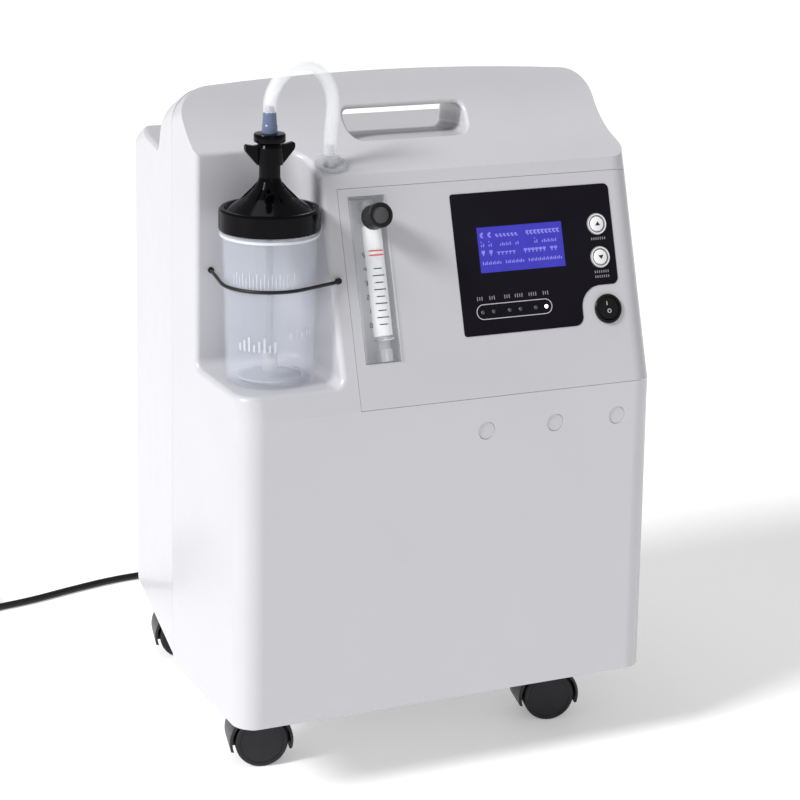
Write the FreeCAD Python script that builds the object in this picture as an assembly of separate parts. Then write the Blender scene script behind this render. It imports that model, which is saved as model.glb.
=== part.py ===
import FreeCAD, Part
import math
import os
from FreeCAD import Matrix, Vector

# Oxygen concentrator on four casters, millimetres.
# +Z up, front face towards -Y, origin on the floor under the middle of the cabinet.

# ---- cabinet: driving dimensions ----
Y_FRONT = -187.0
Y_REAR = 187.0
Y_SEAM = -24.0                 # plane where the front and rear covers meet
HALF_FRONT = 193.5             # half widths of the plan at the front, the seam and the rear
HALF_SEAM = 199.0
HALF_REAR = 169.5
TAPER = 0.012                  # half width lost per millimetre of height
Z_FRONT_BOTTOM = 76.0
Z_REAR_BOTTOM = 84.0
Z_BEND = 346.4                 # where the upright front turns into the control panel
PANEL_TILT = math.radians(18.3)
HEAD_CORNER = (-56.0, 555.6)   # (y, z) where the two head slopes would meet
HEAD_LOW_SLOPE = math.radians(19.0)
HEAD_HIGH_SLOPE = math.radians(62.0)
HEAD_BLEND = 90.0
TOP_APEX = (-24.0, 599.5)
TOP_ARCH_R = 2100.0
TOP_SLOPE = math.radians(18.0)
STEP_TOP = (17.5, 585.7)       # rear face of the head, from its top to the shelf behind it
STEP_FOOT = (42.6, 530.5)
WALL = 3.0
R_FRONT_CORNER = 20.0
R_REAR_CORNER = 30.0
R_TOP_CORNER = 28.0
R_RIM = 4.5
SEAM_GAP = 0.3

# ---- bottle niche and handle slot ----
NICHE_X = -100.0
NICHE_Y = -80.0
NICHE_Z = 366.0
SLOT_FRONT = (-47.0, 54.5, 550.7, 570.7)    # x0, x1, z0, z1 at the head's face
SLOT_SEAM = (-52.0, 69.0, 545.0, 571.5)
SLOT_REAR = (-58.0, 82.0, 534.5, 568.0)
SLOT_END_R = 9.8               # corner radius at the face, and at the two sections behind it
SLOT_BACK_R = 7.0

# ---- vents and the filter door in the rear cover: x0, x1, z0, z1 ----
GRILLE = (-95.0, 75.0, 120.0, 196.0)
FILTER = (-75.0, 75.0, 330.0, 452.0)

# ---- machine inside: plan centres, and the fan's height ----
COMPRESSOR = (62.0, -8.0)
TANKS = ((-122.0, 112.0), (-40.0, 112.0))
FAN = (62.0, -8.0, 262.0)

# ---- control panel, in its own plane: x, v up the panel, w out of it ----
PANEL_X = -86.3
PANEL_V = 184.0
METER_X = (-77.2, -44.8)
METER_V = (38.3, 176.7)
METER_W = (-24.0, 1.5)
METER_BORE_X = -56.0
METER_BORE_W = -8.0
METER_BORE_R = 5.0
FLOAT_V = 124.0                # height of the float while gas flows
KNOB_X = -60.5
KNOB_V = 158.0
SCREEN_X = (34.4, 116.9)
SCREEN_V = (103.5, 144.1)
BUTTONS = ((149.7, 138.0), (149.6, 109.4))
LED_XS = (33.1, 43.3, 58.2, 68.4, 83.0, 93.0)
LED_V = 71.6
SWITCH = (151.7, 64.4)
SWITCH_R = 12.8
ROCKER_R = 9.6
ROCKER_REST_TILT = 5.0

# ---- humidifier bottle ----
BOTTLE_X = -145.5
BOTTLE_Y = -131.0
JAR_Z0 = 366.3
JAR_R0 = 36.9
JAR_R1 = 39.5
LID_R = 41.6
STRAP_Z = 449.5
STRAP_R = 1.5

# ---- outlet and hose ----
OUTLET_X = -84.0
OUTLET_Y = -109.0
HOSE_R = 5.6
HOSE_BORE_R = 3.9

# ---- casters ----
CASTER_PIVOTS = {"front_left": (-124.0, -92.0), "front_right": (124.0, -92.0),
                 "rear_left": (-112.0, 161.0), "rear_right": (112.0, 161.0)}
WHEEL_R = 23.5
HOOD_R = 28.5
HOOD_BORE_R = 26.0
HOOD_FOOT_Z = 15.5
CASTER_HALF = 20.0             # half the width across both wheels
WEB_HALF = 4.6
TRAIL = 17.0
SWIVEL = -12.0                 # degrees each caster is turned from pointing straight out
PLATE_Z = 70.0
PIVOT_CLEARANCE = 0.05

# ---- mains cord ----
CORD_R = 3.5
CORD_EXIT = (-30.0, 187.0, 98.0)
GROMMET_LENGTH = 28.0
CORD_ROUTE = (
    (-30.0, 215.0, 98.0), (-30.0, 248.0, 98.0), (-30.0, 290.0, 77.0), (-34.0, 322.0, 43.0),
    (-47.0, 348.0, 13.0), (-84.0, 366.0, 3.7), (-136.0, 365.0, 3.7), (-190.0, 352.0, 3.7),
    (-236.0, 338.0, 3.7), (-282.0, 331.0, 3.7), (-318.0, 319.0, 3.7),
)
COIL_MID_R = 38.5
COIL_HEADING = math.radians(198.4)          # direction of the last run, in plan
PLUG_LENGTH = 46.0
PLUG_R = 17.8
TAIL_LENGTH = 26.0


# ---------------------------------------------------------------- helpers
def save(name, shape):
    """One STEP file per sub-part; a group of equal pieces is a compound of solids."""
    solids = shape.Solids
    shape = solids[0] if len(solids) == 1 else Part.makeCompound(solids)
    shape.exportStep("parts/" + name + ".step")


def yz(point):
    return Vector(0, point[0], point[1])


def rounded_wire(points, radii):
    """Closed wire through the points, with an arc of the stated radius at some of them."""
    count = len(points)
    starts, ends, middles = [], [], []
    for i, corner in enumerate(points):
        radius = radii.get(i, 0)
        if not radius:
            starts.append(corner)
            ends.append(corner)
            middles.append(None)
            continue
        before = (points[i - 1] - corner).normalize()
        after = (points[(i + 1) % count] - corner).normalize()
        half = math.acos(before.dot(after)) / 2
        reach = radius / math.tan(half)
        starts.append(corner + before * reach)
        ends.append(corner + after * reach)
        inward = (before + after).normalize()
        middles.append(corner + inward * (radius / math.sin(half) - radius))
    edges = []
    for i in range(count):
        if middles[i] is not None:
            edges.append(Part.Arc(starts[i], middles[i], ends[i]).toShape())
        if (starts[(i + 1) % count] - ends[i]).Length > 1e-6:
            edges.append(Part.makeLine(ends[i], starts[(i + 1) % count]))
    return Part.Wire(edges)


def x_prism(points, radii=None):
    """Prism along X of an outline given as (y, z) points."""
    face = Part.Face(rounded_wire([yz(p) for p in points], radii or {}))
    face.translate(Vector(-260, 0, 0))
    return face.extrude(Vector(520, 0, 0))


def polyhedron(low, high):
    """Solid between two parallel polygons with flat sides."""
    faces = [Part.Face(Part.makePolygon(ring + [ring[0]])) for ring in (low, high)]
    for i, corner in enumerate(low):
        j = (i + 1) % len(low)
        faces.append(Part.Face(Part.makePolygon([corner, low[j], high[j], high[i], corner])))
    solid = Part.Solid(Part.Shell(faces))
    if solid.Volume < 0:
        solid.reverse()
    return solid


def box(x0, x1, y0, y1, z0, z1):
    return Part.makeBox(x1 - x0, y1 - y0, z1 - z0, Vector(x0, y0, z0))


def cylinder(radius, start, end):
    axis = Vector(*end) - Vector(*start)
    return Part.makeCylinder(radius, axis.Length, Vector(*start), axis)


def revolve(profile, x, y):
    """Solid of revolution about the vertical line at x, y of an (r, z) outline."""
    points = [Vector(r, 0, z) for r, z in profile]
    face = Part.Face(Part.makePolygon(points + [points[0]]))
    solid = face.revolve(Vector(0, 0, 0), Vector(0, 0, 1), 360)
    solid.translate(Vector(x, y, 0))
    return solid


def union(shapes):
    result = shapes[0]
    for shape in shapes[1:]:
        result = result.fuse(shape)
    return result.removeSplitter()


def edges_near(shape, points, reach=1.0):
    return [e for e in shape.Edges
            if any(e.distToShape(Part.Vertex(Vector(*p)))[0] < reach for p in points)]


def on_panel(shape):
    """Move a shape from panel coordinates (x, v, w) to its place on the cabinet."""
    c, s = math.cos(PANEL_TILT), math.sin(PANEL_TILT)
    place = FreeCAD.Placement(Matrix(1, 0, 0, 0,
                                     0, s, -c, Y_FRONT,
                                     0, c, s, Z_BEND,
                                     0, 0, 0, 1))
    shape = shape.copy()
    shape.Placement = place.multiply(shape.Placement)
    return shape


# ---------------------------------------------------------------- cabinet
def panel_y(z):
    return Y_FRONT + (z - Z_BEND) * math.tan(PANEL_TILT)


def plan_solid(inset):
    """Tall solid with the six-sided plan of the cabinet, narrowing upwards."""
    reach = 60.0
    front_draft = (HALF_SEAM - HALF_FRONT) / (Y_SEAM - Y_FRONT)
    rear_draft = (HALF_REAR - HALF_SEAM) / (Y_REAR - Y_SEAM)
    rings = []
    for z in (40.0, 660.0):
        lost = TAPER * (z - Z_FRONT_BOTTOM) + inset
        front = HALF_FRONT - lost - front_draft * reach
        middle = HALF_SEAM - lost
        rear = HALF_REAR - lost + rear_draft * reach
        y0, y1 = Y_FRONT - reach, Y_REAR + reach
        rings.append([Vector(-front, y0, z), Vector(front, y0, z), Vector(middle, Y_SEAM, z),
                      Vector(rear, y1, z), Vector(-rear, y1, z), Vector(-middle, Y_SEAM, z)])
    return polyhedron(*rings)


def tall_edges(shape, test):
    """Near-upright edges whose two ends pass a test."""
    return [e for e in shape.Edges if len(e.Vertexes) == 2
            and abs(e.Vertexes[0].Z - e.Vertexes[1].Z) > 30
            and all(test(v.Point) for v in e.Vertexes)]


def crown_block(inset, y0, y1):
    """Plan outline under the arched top, with its upper side corners rounded."""
    axis = Vector(0, math.cos(TOP_SLOPE), -math.sin(TOP_SLOPE))
    up = Vector(0, math.sin(TOP_SLOPE), math.cos(TOP_SLOPE))
    reach = 800.0
    base = yz(TOP_APEX) - up * (inset + TOP_ARCH_R) - axis * reach
    arch = Part.makeCylinder(TOP_ARCH_R, 2 * reach, base, axis)
    block = plan_solid(inset).common(box(-300, 300, y0, y1, 30, 700)).common(arch)
    corners = [e for e in block.Edges
               if e.BoundBox.ZMin > 430 and e.BoundBox.YLength > 200
               and min(abs(e.BoundBox.XMin), abs(e.BoundBox.XMax)) > 120]
    return block.makeFillet(R_TOP_CORNER - inset, corners)


def front_half(inset, z_bottom):
    """Everything in front of the seam: upright face, panel slope and head."""
    back = inset / math.cos(PANEL_TILT)
    y_face = Y_FRONT + inset
    z_bend = Z_BEND + (inset - back) / math.tan(PANEL_TILT)
    z_top = 650.0
    outline = [(y_face, z_bottom), (y_face, z_bend), (panel_y(z_top) + back, z_top),
               (Y_SEAM, z_top), (Y_SEAM, z_bottom)]
    block = x_prism(outline).common(plan_solid(inset))

    def on_front(p):
        return abs(p.y - (y_face if p.z < z_bend else panel_y(p.z) + back)) < 0.5

    block = block.makeFillet(R_FRONT_CORNER - inset, tall_edges(block, on_front))
    block = block.common(crown_block(inset, Y_FRONT - 60, Y_SEAM))
    low, high = HEAD_LOW_SLOPE, HEAD_HIGH_SLOPE
    share = 1 + math.cos(high - low)
    corner_y = HEAD_CORNER[0] + inset * (math.sin(low) + math.sin(high)) / share
    corner_z = HEAD_CORNER[1] - inset * (math.cos(low) + math.cos(high)) / share
    far_y, far_z = -300.0, 720.0
    notch = [(far_y, corner_z + (far_y - corner_y) * math.tan(low)), (corner_y, corner_z),
             (corner_y + (far_z - corner_z) / math.tan(high), far_z), (far_y, far_z)]
    return block.cut(x_prism(notch, {1: HEAD_BLEND + inset}))


def rear_half(inset, z_bottom):
    """Everything behind the seam: back of the head, shelf and rear wall."""
    z_top = 650.0
    y_wall = Y_REAR - inset
    outline = [(Y_SEAM, z_bottom), (Y_SEAM, z_top), (y_wall, z_top), (y_wall, z_bottom)]
    block = x_prism(outline).common(plan_solid(inset))
    rear_edges = tall_edges(block, lambda p: abs(p.y - y_wall) < 0.5)
    block = block.makeFillet(R_REAR_CORNER - inset, rear_edges)
    block = block.common(crown_block(inset, Y_SEAM, Y_REAR + 60))
    slope = (STEP_FOOT[1] - STEP_TOP[1]) / (STEP_FOOT[0] - STEP_TOP[0])
    lean = math.atan(-1 / slope)
    foot_y = STEP_FOOT[0] - inset * math.cos(lean) / (1 + math.sin(lean))
    foot_z = STEP_FOOT[1] - inset
    far = 720.0
    notch = [(foot_y + (far - foot_z) / slope, far), (foot_y, foot_z), (y_wall, foot_z),
             (y_wall, 300.0), (400.0, 300.0), (400.0, far)]
    return block.cut(x_prism(notch, {1: 12.0 + inset, 2: 40.0 - inset}))


def niche_cutter(grow):
    """Space for the humidifier bottle, open to the front, the left and above."""
    x1, y1, z0 = NICHE_X + grow, NICHE_Y + grow, NICHE_Z - grow
    block = box(-260, x1, -290, y1, z0, 680)
    inner = [e for e in block.Edges if e.Length > 100
             and abs(e.BoundBox.XMin - x1) < 0.1 and abs(e.BoundBox.YMin - y1) < 0.1]
    block = block.makeFillet(22.0 + grow, inner)
    foot = edges_near(block, [(x1, -200, z0), (-200, y1, z0)], 0.1)
    return block.makeFillet(8.0 + grow, foot)


def slot_section(sizes, y, radius, grow):
    """Rounded rectangle across the handle slot."""
    x0, x1, z0, z1 = sizes
    corners = [Vector(x, y, z) for x, z in ((x0 - grow, z0 - grow), (x1 + grow, z0 - grow),
                                            (x1 + grow, z1 + grow), (x0 - grow, z1 + grow))]
    return rounded_wire(corners, dict.fromkeys(range(4), radius + grow))


def slot_cutter(grow, front):
    """Handle slot through one of the covers, widening towards the seam."""
    middle = slot_section(SLOT_SEAM, Y_SEAM, SLOT_BACK_R, grow)
    if front:
        ends = [slot_section(SLOT_FRONT, -95.0, SLOT_END_R, grow), middle]
    else:
        ends = [middle, slot_section(SLOT_REAR, 48.0, SLOT_BACK_R, grow)]
    return Part.makeLoft(ends, True, True)


def panel_window(gap):
    """Region of the front cover that the control panel fills."""
    return on_panel(box(PANEL_X + gap, 260, gap, PANEL_V - gap, -26 + gap, 40))


def screw_cap_points():
    return [(x, 317.0) for x in (29.0, 94.0, 154.0)]


def front_shell():
    """The front moulding with its niche and handle slot, before the panel is cut out."""
    outer = front_half(0, Z_FRONT_BOTTOM).cut(niche_cutter(0)).cut(slot_cutter(0, True))
    rim = edges_near(outer, [(-193.2, -80, 450), (-191.8, -65, 551.3), (-130, -80, 546.9),
                             (191.8, -65, 551.3)], 1.2)
    outer = outer.makeFillet(R_RIM, rim)
    lip = [e for e in outer.Edges if e.BoundBox.ZMax < 580 and e.BoundBox.ZMin > 542
           and e.BoundBox.XMax < 60 and e.BoundBox.XMin > -72 and e.BoundBox.YMax < -40]
    outer = outer.makeFillet(3.0, lip)
    inner = front_half(WALL, 40.0).cut(niche_cutter(WALL)).cut(slot_cutter(WALL, True))
    shell = outer.cut(inner)
    return shell.cut(box(-300, 300, Y_SEAM - SEAM_GAP / 2, 0, 0, 700))


def front_cover(shell):
    cover = shell.cut(panel_window(0))
    for x, z in screw_cap_points():
        cover = cover.cut(cylinder(7.8, (x, Y_FRONT - 5, z), (x, Y_FRONT + 10, z)))
    outlet_hole = cylinder(6.2, (OUTLET_X, OUTLET_Y, 500), (OUTLET_X, OUTLET_Y, 560))
    return cover.cut(outlet_hole)


def control_panel(shell):
    panel = shell.common(panel_window(SEAM_GAP))
    clear = 0.3
    holes = [box(METER_X[0] - clear, METER_X[1] + clear, METER_V[0] - clear, METER_V[1] + clear, -30, 30),
             box(SCREEN_X[0] - clear, SCREEN_X[1] + clear, SCREEN_V[0] - clear, SCREEN_V[1] + clear,
                 -30, 30),
             cylinder(11.2, (*SWITCH, -30), (*SWITCH, 30))]
    holes += [cylinder(6.9, (x, v, -30), (x, v, 30)) for x, v in BUTTONS]
    holes += [cylinder(1.9, (x, LED_V, -30), (x, LED_V, 30)) for x in LED_XS]
    for hole in holes:
        panel = panel.cut(on_panel(hole))
    return max(panel.Solids, key=lambda s: s.Volume)




def rear_cover():
    outer = rear_half(0, Z_REAR_BOTTOM).cut(slot_cutter(0, False))
    rim = edges_near(outer, [(-184.5, 37.5, 542.0), (184.5, 37.5, 542.0)], 1.0)
    outer = outer.makeFillet(R_RIM, rim)
    inner = rear_half(WALL, 40.0).cut(slot_cutter(WALL, False))
    shell = outer.cut(inner)
    shell = shell.cut(box(-300, 300, -30, Y_SEAM + SEAM_GAP / 2, 0, 700))
    for x0, x1, z0, z1 in (GRILLE, FILTER):
        shell = shell.cut(box(x0 - 0.4, x1 + 0.4, Y_REAR - 12, Y_REAR + 5, z0 - 0.4, z1 + 0.4))
    x, y, z = CORD_EXIT
    shell = shell.cut(cylinder(9.0, (x, y - 10, z), (x, y + 5, z)))
    for sx, sz in cover_screw_points():
        shell = shell.cut(cylinder(2.2, (sx, y - 10, sz), (sx, y + 5, sz)))
        shell = shell.cut(cylinder(4.5, (sx, y - 1.8, sz), (sx, y + 5, sz)))
    return shell


def cover_screw_points():
    return [(x, z) for x in (-128.0, 128.0) for z in (112.0, 300.0, 470.0)]


def cover_screws():
    screws = []
    for x, z in cover_screw_points():
        head = cylinder(4.2, (x, Y_REAR - 1.75, z), (x, Y_REAR - 0.2, z))
        shank = cylinder(1.9, (x, Y_REAR - 14, z), (x, Y_REAR - 1.7, z))
        cross = box(x - 2.5, x + 2.5, Y_REAR - 1.0, Y_REAR + 5, z - 0.5, z + 0.5)
        turned = box(x - 0.5, x + 0.5, Y_REAR - 1.0, Y_REAR + 5, z - 2.5, z + 2.5)
        screws.append(head.fuse(shank).cut(cross).cut(turned))
    return Part.makeCompound(screws)


def screw_caps():
    caps = []
    for x, z in screw_cap_points():
        disc = cylinder(7.5, (x, Y_FRONT + 0.7, z), (x, Y_FRONT + 3.0, z))
        collar = cylinder(6.6, (x, Y_FRONT + 3.0, z), (x, Y_FRONT + 7.0, z))
        hollow = cylinder(5.2, (x, Y_FRONT + 3.0, z), (x, Y_FRONT + 8.0, z))
        caps.append(disc.fuse(collar.cut(hollow)))
    return Part.makeCompound(caps)


def base_tray():
    """Sheet metal pan that carries the casters and the machine."""
    outer_inset, thickness, rim = 12.0, 2.0, 92.0

    def pan(inset, z0, z1):
        front, rear = front_half(inset, z0), rear_half(inset, z0)
        return front.fuse(rear).common(box(-300, 300, -300, 300, z0, z1)).removeSplitter()

    tray = pan(outer_inset, PLATE_Z, rim).cut(pan(outer_inset + thickness, PLATE_Z + thickness, rim + 5))
    for i in range(6):
        x = -40.0 + 16.0 * i
        tray = tray.cut(box(x, x + 6, -60, 60, PLATE_Z - 5, PLATE_Z + 10))
    return tray


# ---------------------------------------------------------------- control panel parts
def panel_overlay():
    """Black membrane with a hollow corner round the power switch."""
    left, right, low, step, high = 14.0, 164.6, 52.3, 85.4, 172.6
    inner_x = 127.3
    corners = [Vector(left, low, 0), Vector(inner_x, low, 0), Vector(inner_x, step, 0),
               Vector(right, step, 0), Vector(right, high, 0), Vector(left, high, 0)]
    radii = {0: 2.5, 1: 8.0, 2: 19.0, 3: 6.0, 4: 5.0, 5: 2.5}
    film = Part.Face(rounded_wire(corners, radii)).extrude(Vector(0, 0, 0.4))
    film = film.cut(box(SCREEN_X[0] + 1, SCREEN_X[1] - 1, SCREEN_V[0] + 1, SCREEN_V[1] - 1, -1, 2))
    for x, v in BUTTONS:
        film = film.cut(cylinder(6.9, (x, v, -1), (x, v, 2)))
    for x in LED_XS:
        film = film.cut(cylinder(1.6, (x, LED_V, -1), (x, LED_V, 2)))
    return on_panel(film)


def display_screen():
    return on_panel(box(*SCREEN_X, *SCREEN_V, -5.0, -0.05))


def status_lights():
    lights = [cylinder(1.5, (x, LED_V, -6), (x, LED_V, 0.6)) for x in LED_XS]
    return Part.makeCompound([on_panel(light) for light in lights])


def panel_button(x, v):
    cap = cylinder(6.5, (x, v, -5), (x, v, 1.1))
    rim = [e for e in cap.Edges if e.BoundBox.ZMin > 1.0]
    cap = cap.makeFillet(0.5, rim)
    return on_panel(cap.fuse(cylinder(2.5, (x, v, -12), (x, v, -5))))


def switch_bezel():
    x, v = SWITCH
    ring = cylinder(SWITCH_R, (x, v, 0.05), (x, v, 2.0))
    ring = ring.makeFillet(0.9, [e for e in ring.Edges if e.BoundBox.ZMin > 1.9])
    ring = ring.fuse(cylinder(11.0, (x, v, -22), (x, v, 0.1)))
    return on_panel(ring.cut(cylinder(10.3, (x, v, -12), (x, v, 5))))


def power_rocker():
    """Round rocker, at rest with its upper half pressed in."""
    x, v = SWITCH
    pivot = Vector(x, v, -1.0)
    face = cylinder(ROCKER_R, (x, v, -3.0), (x, v, 1.8))
    dish = Part.makeCylinder(60.0, 40, Vector(x - 20, v, 61.2), Vector(1, 0, 0))
    face = face.cut(dish)
    body = face.fuse(box(x - 5, x + 5, v - 4, v + 4, -9, -2.5))
    body.rotate(pivot, Vector(1, 0, 0), -ROCKER_REST_TILT)
    return on_panel(body)


# ---------------------------------------------------------------- flow meter
def meter_body():
    """Clear block with a bore for the float and a cross bore for the valve stem."""
    block = box(*METER_X, *METER_V, *METER_W)
    block = block.makeFillet(1.2, [e for e in block.Edges if e.BoundBox.ZMin > METER_W[1] - 0.1])
    bore = cylinder(METER_BORE_R, (METER_BORE_X, 50, METER_BORE_W), (METER_BORE_X, 149, METER_BORE_W))
    stem = cylinder(2.5 + PIVOT_CLEARANCE, (KNOB_X, KNOB_V, -18), (KNOB_X, KNOB_V, 5))
    block = block.cut(bore).cut(stem)
    for v in (45.0, 170.0):
        block = block.cut(cylinder(4.0, (METER_BORE_X, v, -26), (METER_BORE_X, v, -14)))
    foot = cylinder(METER_BORE_R + 1.5, (METER_BORE_X, 39, METER_BORE_W), (METER_BORE_X, 50, METER_BORE_W))
    return on_panel(block.cut(foot))


def meter_fittings():
    """Turned inlet seat under the float and the two hose tails behind the block."""
    seat = cylinder(METER_BORE_R + 1.5, (METER_BORE_X, 39, METER_BORE_W),
                    (METER_BORE_X, 49.9, METER_BORE_W))
    seat = seat.makeChamfer(1.2, [e for e in seat.Edges if e.BoundBox.YMin > 49])
    pieces = [seat]
    for v in (45.0, 170.0):
        tail = cylinder(3.9, (METER_BORE_X, v, -46), (METER_BORE_X, v, -14.5 if v < 100 else -14.2))
        pieces.append(tail.cut(cylinder(2.2, (METER_BORE_X, v, -47), (METER_BORE_X, v, -18))))
    return Part.makeCompound([on_panel(p) for p in pieces])


def meter_float():
    return on_panel(Part.makeSphere(4.3, Vector(METER_BORE_X, FLOAT_V, METER_BORE_W)))


def valve_stem():
    return on_panel(cylinder(2.5, (KNOB_X, KNOB_V, -17.5), (KNOB_X, KNOB_V, 22)))


def flow_knob():
    """Fluted knob with a raised rim and a sunk disc in its face."""
    radius, w0, w1 = 10.5, 5.0, 27.0
    knob = cylinder(radius, (KNOB_X, KNOB_V, w0 + 4), (KNOB_X, KNOB_V, w1))
    knob = knob.makeFillet(1.0, [e for e in knob.Edges if e.BoundBox.ZMin > w1 - 0.1])
    flutes = 24
    for i in range(flutes):
        angle = 2 * math.pi * i / flutes
        x, v = KNOB_X + (radius + 0.5) * math.cos(angle), KNOB_V + (radius + 0.5) * math.sin(angle)
        knob = knob.cut(cylinder(0.95, (x, v, w0 + 5), (x, v, w1 - 2.5)))
    knob = knob.fuse(cylinder(7.0, (KNOB_X, KNOB_V, w0), (KNOB_X, KNOB_V, w0 + 4)))
    knob = knob.cut(cylinder(7.6, (KNOB_X, KNOB_V, w1 - 1.6), (KNOB_X, KNOB_V, w1 + 1)))
    knob = knob.cut(cylinder(2.5, (KNOB_X, KNOB_V, w0 - 1), (KNOB_X, KNOB_V, 22)))
    return on_panel(knob)


# ---------------------------------------------------------------- humidifier bottle
def bottle_jar():
    outer = [(0, JAR_Z0), (JAR_R0 - 4, JAR_Z0), (JAR_R0 - 1.2, JAR_Z0 + 1.3), (JAR_R0, JAR_Z0 + 4),
             (JAR_R1, 489), (JAR_R1 + 1.2, 490), (JAR_R1 + 1.2, 492.5), (38.0, 493.2), (38.0, 508)]
    inner = [(36.4, 508), (36.4, 492), (JAR_R1 - 1.6, 489), (JAR_R0 - 1.6, JAR_Z0 + 6),
             (JAR_R0 - 5, JAR_Z0 + 3.2), (25, JAR_Z0 + 2.4), (24, JAR_Z0 + 3.4), (0, JAR_Z0 + 3.4)]
    return revolve(outer + inner, BOTTLE_X, BOTTLE_Y)


def bottle_lid():
    """Screw lid: ribbed skirt, raised rim, cone and column, with the patient outlet."""
    outer = [(38.3, 493.4), (LID_R, 493.4), (LID_R, 509.4), (LID_R - 1.6, 511.2), (LID_R - 4.2, 511.2),
             (LID_R - 5.6, 508.8), (20.0, 520.5), (13.0, 527.5), (9.6, 533.0), (8.7, 536.0),
             (8.7, 546.0), (7.2, 546.0), (7.2, 558.0)]
    inner = [(3.6, 558.0), (3.6, 512.0), (5.2, 512.0), (5.2, 504.0), (12.0, 504.0), (14.0, 508.4),
             (38.3, 508.4)]
    lid = revolve(outer + inner, BOTTLE_X, BOTTLE_Y)
    direction = Vector(-0.33, -0.80, 0.50).normalize()
    start = Vector(BOTTLE_X - 2.6, BOTTLE_Y - 6.3, 517.0)
    nipple = Part.makeCylinder(4.4, 16, start, direction)
    nipple = nipple.fuse(Part.makeCylinder(3.3, 25, start, direction))
    barb = Part.makeCone(4.1, 3.3, 4.0, start + direction * 20.0, direction)
    bore = Part.makeCylinder(1.8, 40, start + direction * 4, direction)
    return lid.fuse(nipple).fuse(barb).cut(bore)


def wing_connector():
    """Wing nut that joins the inlet spigot to the lid's column."""
    thread = 7.2 + PIVOT_CLEARANCE
    hub = revolve([(thread, 546.4), (11.0, 546.4), (11.0, 560.5), (9.4, 564.2), (3.8, 564.2), (3.8, 558.4),
                   (thread, 558.4)], BOTTLE_X, BOTTLE_Y)
    wings = []
    for side in (-1, 1):
        points = [Vector(BOTTLE_X + side * r, BOTTLE_Y - 2.2, z)
                  for r, z in ((9.5, 547.0), (11.5, 547.0), (20.6, 557.6), (21.4, 560.0), (21.2, 562.6),
                               (19.8, 563.6), (14.0, 562.4), (9.5, 562.6))]
        wings.append(Part.Face(Part.makePolygon(points + [points[0]])).extrude(Vector(0, 4.4, 0)))
    return hub.fuse(wings[0]).fuse(wings[1]).removeSplitter()


def inlet_spigot():
    """Barbed spigot held by the wing nut; its lower end is a black collar."""
    profile = [(0.0, 558.1), (3.5, 558.1), (3.5, 564.5), (9.0, 564.5), (9.0, 566.0), (12.4, 566.3),
               (12.4, 570.2), (11.6, 571.4), (6.4, 571.6), (6.3, 578.0), (5.8, 579.0), (5.9, 580.0),
               (5.4, 587.8), (5.2, 588.2), (HOSE_BORE_R - 0.1, 588.4), (HOSE_BORE_R - 0.1, 591.5),
               (3.2, 593.0), (0.0, 593.0)]
    body = revolve(profile, BOTTLE_X, BOTTLE_Y)
    return body.cut(cylinder(1.9, (BOTTLE_X, BOTTLE_Y, 540), (BOTTLE_X, BOTTLE_Y, 620)))


def dip_tube():
    tube = cylinder(3.0, (BOTTLE_X, BOTTLE_Y, 384), (BOTTLE_X, BOTTLE_Y, 545))
    return tube.cut(cylinder(1.9, (BOTTLE_X, BOTTLE_Y, 380), (BOTTLE_X, BOTTLE_Y, 550)))


def diffuser():
    body = cylinder(6.5, (BOTTLE_X, BOTTLE_Y, 372.5), (BOTTLE_X, BOTTLE_Y, 390))
    body = body.makeFillet(2.0, [e for e in body.Edges if e.BoundBox.ZLength < 0.1])
    return body.cut(cylinder(3.0, (BOTTLE_X, BOTTLE_Y, 383.9), (BOTTLE_X, BOTTLE_Y, 395)))


def plan_point(cx, cy, radius, angle):
    return (cx + radius * math.cos(angle), cy + radius * math.sin(angle))


def strap_path():
    """Level path from the niche's back wall, round the jar, to the cabinet's face."""
    jar_r = JAR_R0 + (STRAP_Z - JAR_Z0) * (JAR_R1 - JAR_R0) / (489 - JAR_Z0)
    radius = jar_r + STRAP_R + 0.4
    start = (-179.0, NICHE_Y - 0.3)
    end = (-95.5, panel_y(STRAP_Z) - 2.2)
    angles = []
    for (x, y), side in ((start, 1), (end, -1)):
        dx, dy = x - BOTTLE_X, y - BOTTLE_Y
        angles.append(math.atan2(dy, dx) + side * math.acos(radius / math.hypot(dx, dy)))
    first, last = angles[0], angles[1] + 2 * math.pi
    first = first % (2 * math.pi)
    last = last % (2 * math.pi)
    touch = [plan_point(BOTTLE_X, BOTTLE_Y, radius, a) for a in (first, (first + last) / 2, last)]
    return start, touch, end


def bottle_strap():
    start, touch, end = strap_path()
    level = [Vector(x, y, STRAP_Z) for x, y in (start, *touch, end)]
    wire = Part.Wire([Part.makeLine(level[0], level[1]),
                      Part.Arc(level[1], level[2], level[3]).toShape(),
                      Part.makeLine(level[3], level[4])])
    return sweep(wire, STRAP_R)


def strap_anchors():
    """Rubber eyelets that hold the two ends of the strap."""
    start, _, end = strap_path()
    back = cylinder(2.6, (start[0], NICHE_Y - 0.05, STRAP_Z), (start[0], NICHE_Y - 1.6, STRAP_Z))
    normal = Vector(0, -math.cos(PANEL_TILT), math.sin(PANEL_TILT))
    face = Vector(end[0] + 1.0, panel_y(STRAP_Z), STRAP_Z) + normal * 0.05
    front = Part.makeCylinder(2.6, 3.6, face, normal)
    strap = bottle_strap()
    return Part.makeCompound([back.cut(strap), front.cut(strap)])


# ---------------------------------------------------------------- outlet and hose
def head_z(y):
    """Height of the lower head slope at y."""
    return HEAD_CORNER[1] + (y - HEAD_CORNER[0]) * math.tan(HEAD_LOW_SLOPE)


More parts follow.
